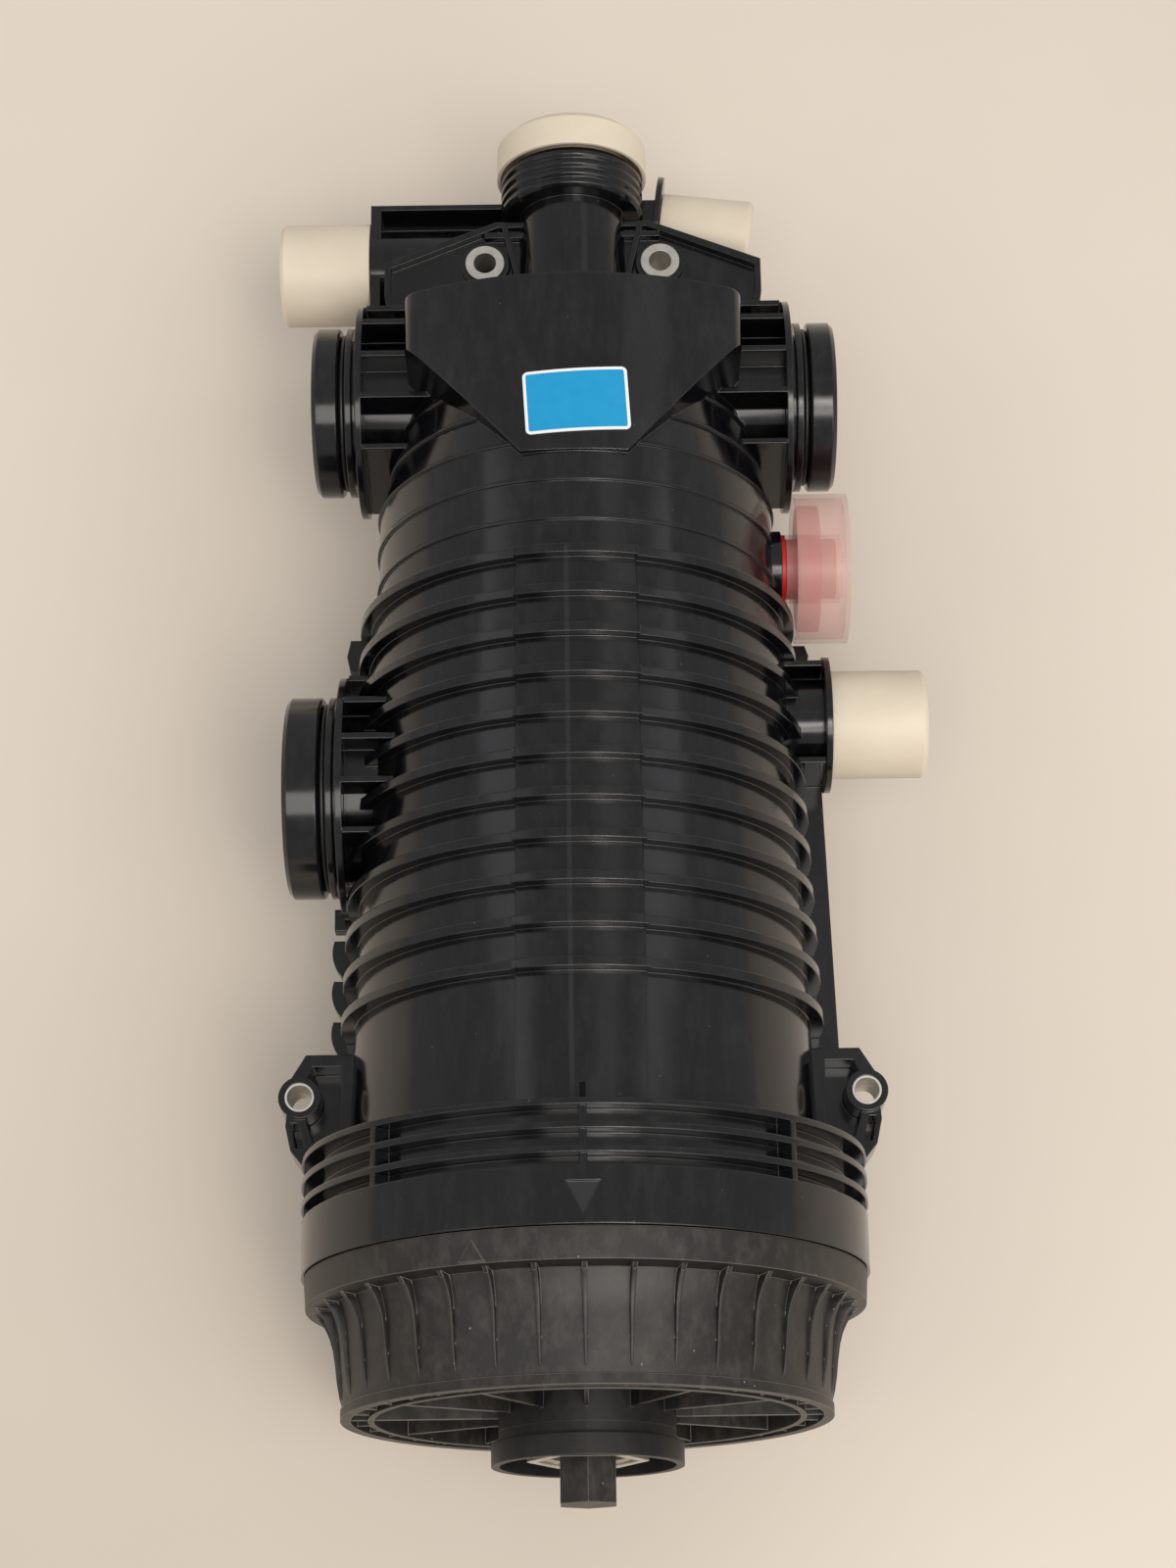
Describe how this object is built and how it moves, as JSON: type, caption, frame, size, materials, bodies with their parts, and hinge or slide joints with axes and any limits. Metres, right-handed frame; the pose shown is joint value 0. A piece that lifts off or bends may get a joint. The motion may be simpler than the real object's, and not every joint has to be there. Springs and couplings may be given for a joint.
{
  "type": "hydraulic oil filter",
  "caption": "Large moulded suction and return oil filter with a ribbed barrel, finned screw cover, hose spigots, capped ports and bolt-on lugs.",
  "frame": {"origin": "middle of the two bolt holes in the collar lugs, on the filter's axis", "axes": "+Y along the filter's axis towards the neck, +X to the side with the indicator, +Z to the labelled front, against the direction of the mounting face"},
  "size_m": [0.2442, 0.5321, 0.2],
  "materials": {
    "housing_plastic": "glass-filled nylon, satin moulded",
    "cover_plastic": "glass-filled nylon, matte with fine dust",
    "seal_rubber": "nitrile rubber, smooth",
    "zinc_steel": "zinc-plated, turned",
    "spring_steel": "drawn spring wire",
    "element_plastic": "moulded nylon",
    "filter_paper": "pleated glass-fibre paper",
    "cap_plastic": "soft ivory polyethylene",
    "red_plastic": "red polyethylene",
    "clear_plastic": "frosted clear plastic",
    "label_film": "printed film with a white border"
  },
  "bodies": {
    "housing": {"housing": "housing_plastic", "element_lower_cap": "element_plastic", "element_upper_cap": "element_plastic", "element_seal": "seal_rubber", "element_media": "filter_paper", "element_core": "zinc_steel", "bypass_valve_seat": "element_plastic", "bypass_valve_cage": "element_plastic", "bypass_valve_spring": "spring_steel", "pressure_valve_seat": "element_plastic", "pressure_valve_cage": "element_plastic", "pressure_valve_spring": "spring_steel", "collar_sleeves": "zinc_steel", "plate_sleeves": "zinc_steel", "top_port_seals": "seal_rubber", "side_port_seal": "seal_rubber", "indicator_plug": "red_plastic", "label": "label_film"},
    "cover": {"cover": "cover_plastic", "drain_bush": "zinc_steel"},
    "cover_seal": {"cover_seal": "seal_rubber"},
    "drain_plug": {"drain_plug": "cover_plastic"},
    "drain_seal": {"drain_seal": "seal_rubber"},
    "bypass_valve_poppet": {"bypass_valve_poppet": "element_plastic"},
    "pressure_valve_poppet": {"pressure_valve_poppet": "element_plastic"},
    "side_port_cap": {"side_port_cap": "cap_plastic"},
    "head_port_cap": {"head_port_cap": "cap_plastic"},
    "breather_cap": {"breather_cap": "cap_plastic"},
    "neck_cap": {"neck_cap": "cap_plastic"},
    "indicator_cap": {"indicator_cap": "clear_plastic"}
  },
  "joints": [
    {"name": "cover_lift", "type": "slide", "parent": "housing", "child": "cover_seal", "axis": [0, -1, 0], "range_m": [0, 0.0301]},
    {"name": "cover_turn", "type": "hinge", "parent": "cover_seal", "child": "cover", "pos_m": [0, -0.1, 0], "axis": [0, -1, 0], "range_deg": [0, 1800]},
    {"name": "drain_lift", "type": "slide", "parent": "cover", "child": "drain_seal", "axis": [0, -1, 0], "range_m": [0, 0.01655]},
    {"name": "drain_turn", "type": "hinge", "parent": "drain_seal", "child": "drain_plug", "pos_m": [0, -0.12, 0], "axis": [0, -1, 0], "range_deg": [0, 3960]},
    {"name": "side_port_cap_pull", "type": "slide", "parent": "housing", "child": "side_port_cap", "axis": [1, 0, 0], "range_m": [0, 0.03]},
    {"name": "head_port_cap_pull", "type": "slide", "parent": "housing", "child": "head_port_cap", "axis": [-1, 0, 0], "range_m": [0, 0.03]},
    {"name": "breather_cap_pull", "type": "slide", "parent": "housing", "child": "breather_cap", "axis": [0.9925, -0.1219, 0], "range_m": [0, 0.03]},
    {"name": "neck_cap_pull", "type": "slide", "parent": "housing", "child": "neck_cap", "axis": [0, 1, 0], "range_m": [0, 0.02]},
    {"name": "indicator_cap_pull", "type": "slide", "parent": "housing", "child": "indicator_cap", "axis": [1, 0, 0], "range_m": [0, 0.022]},
    {"name": "bypass_valve_open", "type": "slide", "parent": "housing", "child": "bypass_valve_poppet", "axis": [0, 1, 0], "range_m": [0, 0.008], "stiffness_N_per_m": 900, "springref_m": -0.006, "deforming": ["bypass_valve_spring"]},
    {"name": "pressure_valve_open", "type": "slide", "parent": "housing", "child": "pressure_valve_poppet", "axis": [0, 1, 0], "range_m": [0, 0.008], "stiffness_N_per_m": 900, "springref_m": -0.006, "deforming": ["pressure_valve_spring"]}
  ],
  "couplings": [
    {"joint": "cover_lift", "follows": "cover_turn", "m_per_rad": 0.00095493},
    {"joint": "drain_lift", "follows": "drain_turn", "m_per_rad": 0.00023873}
  ]
}
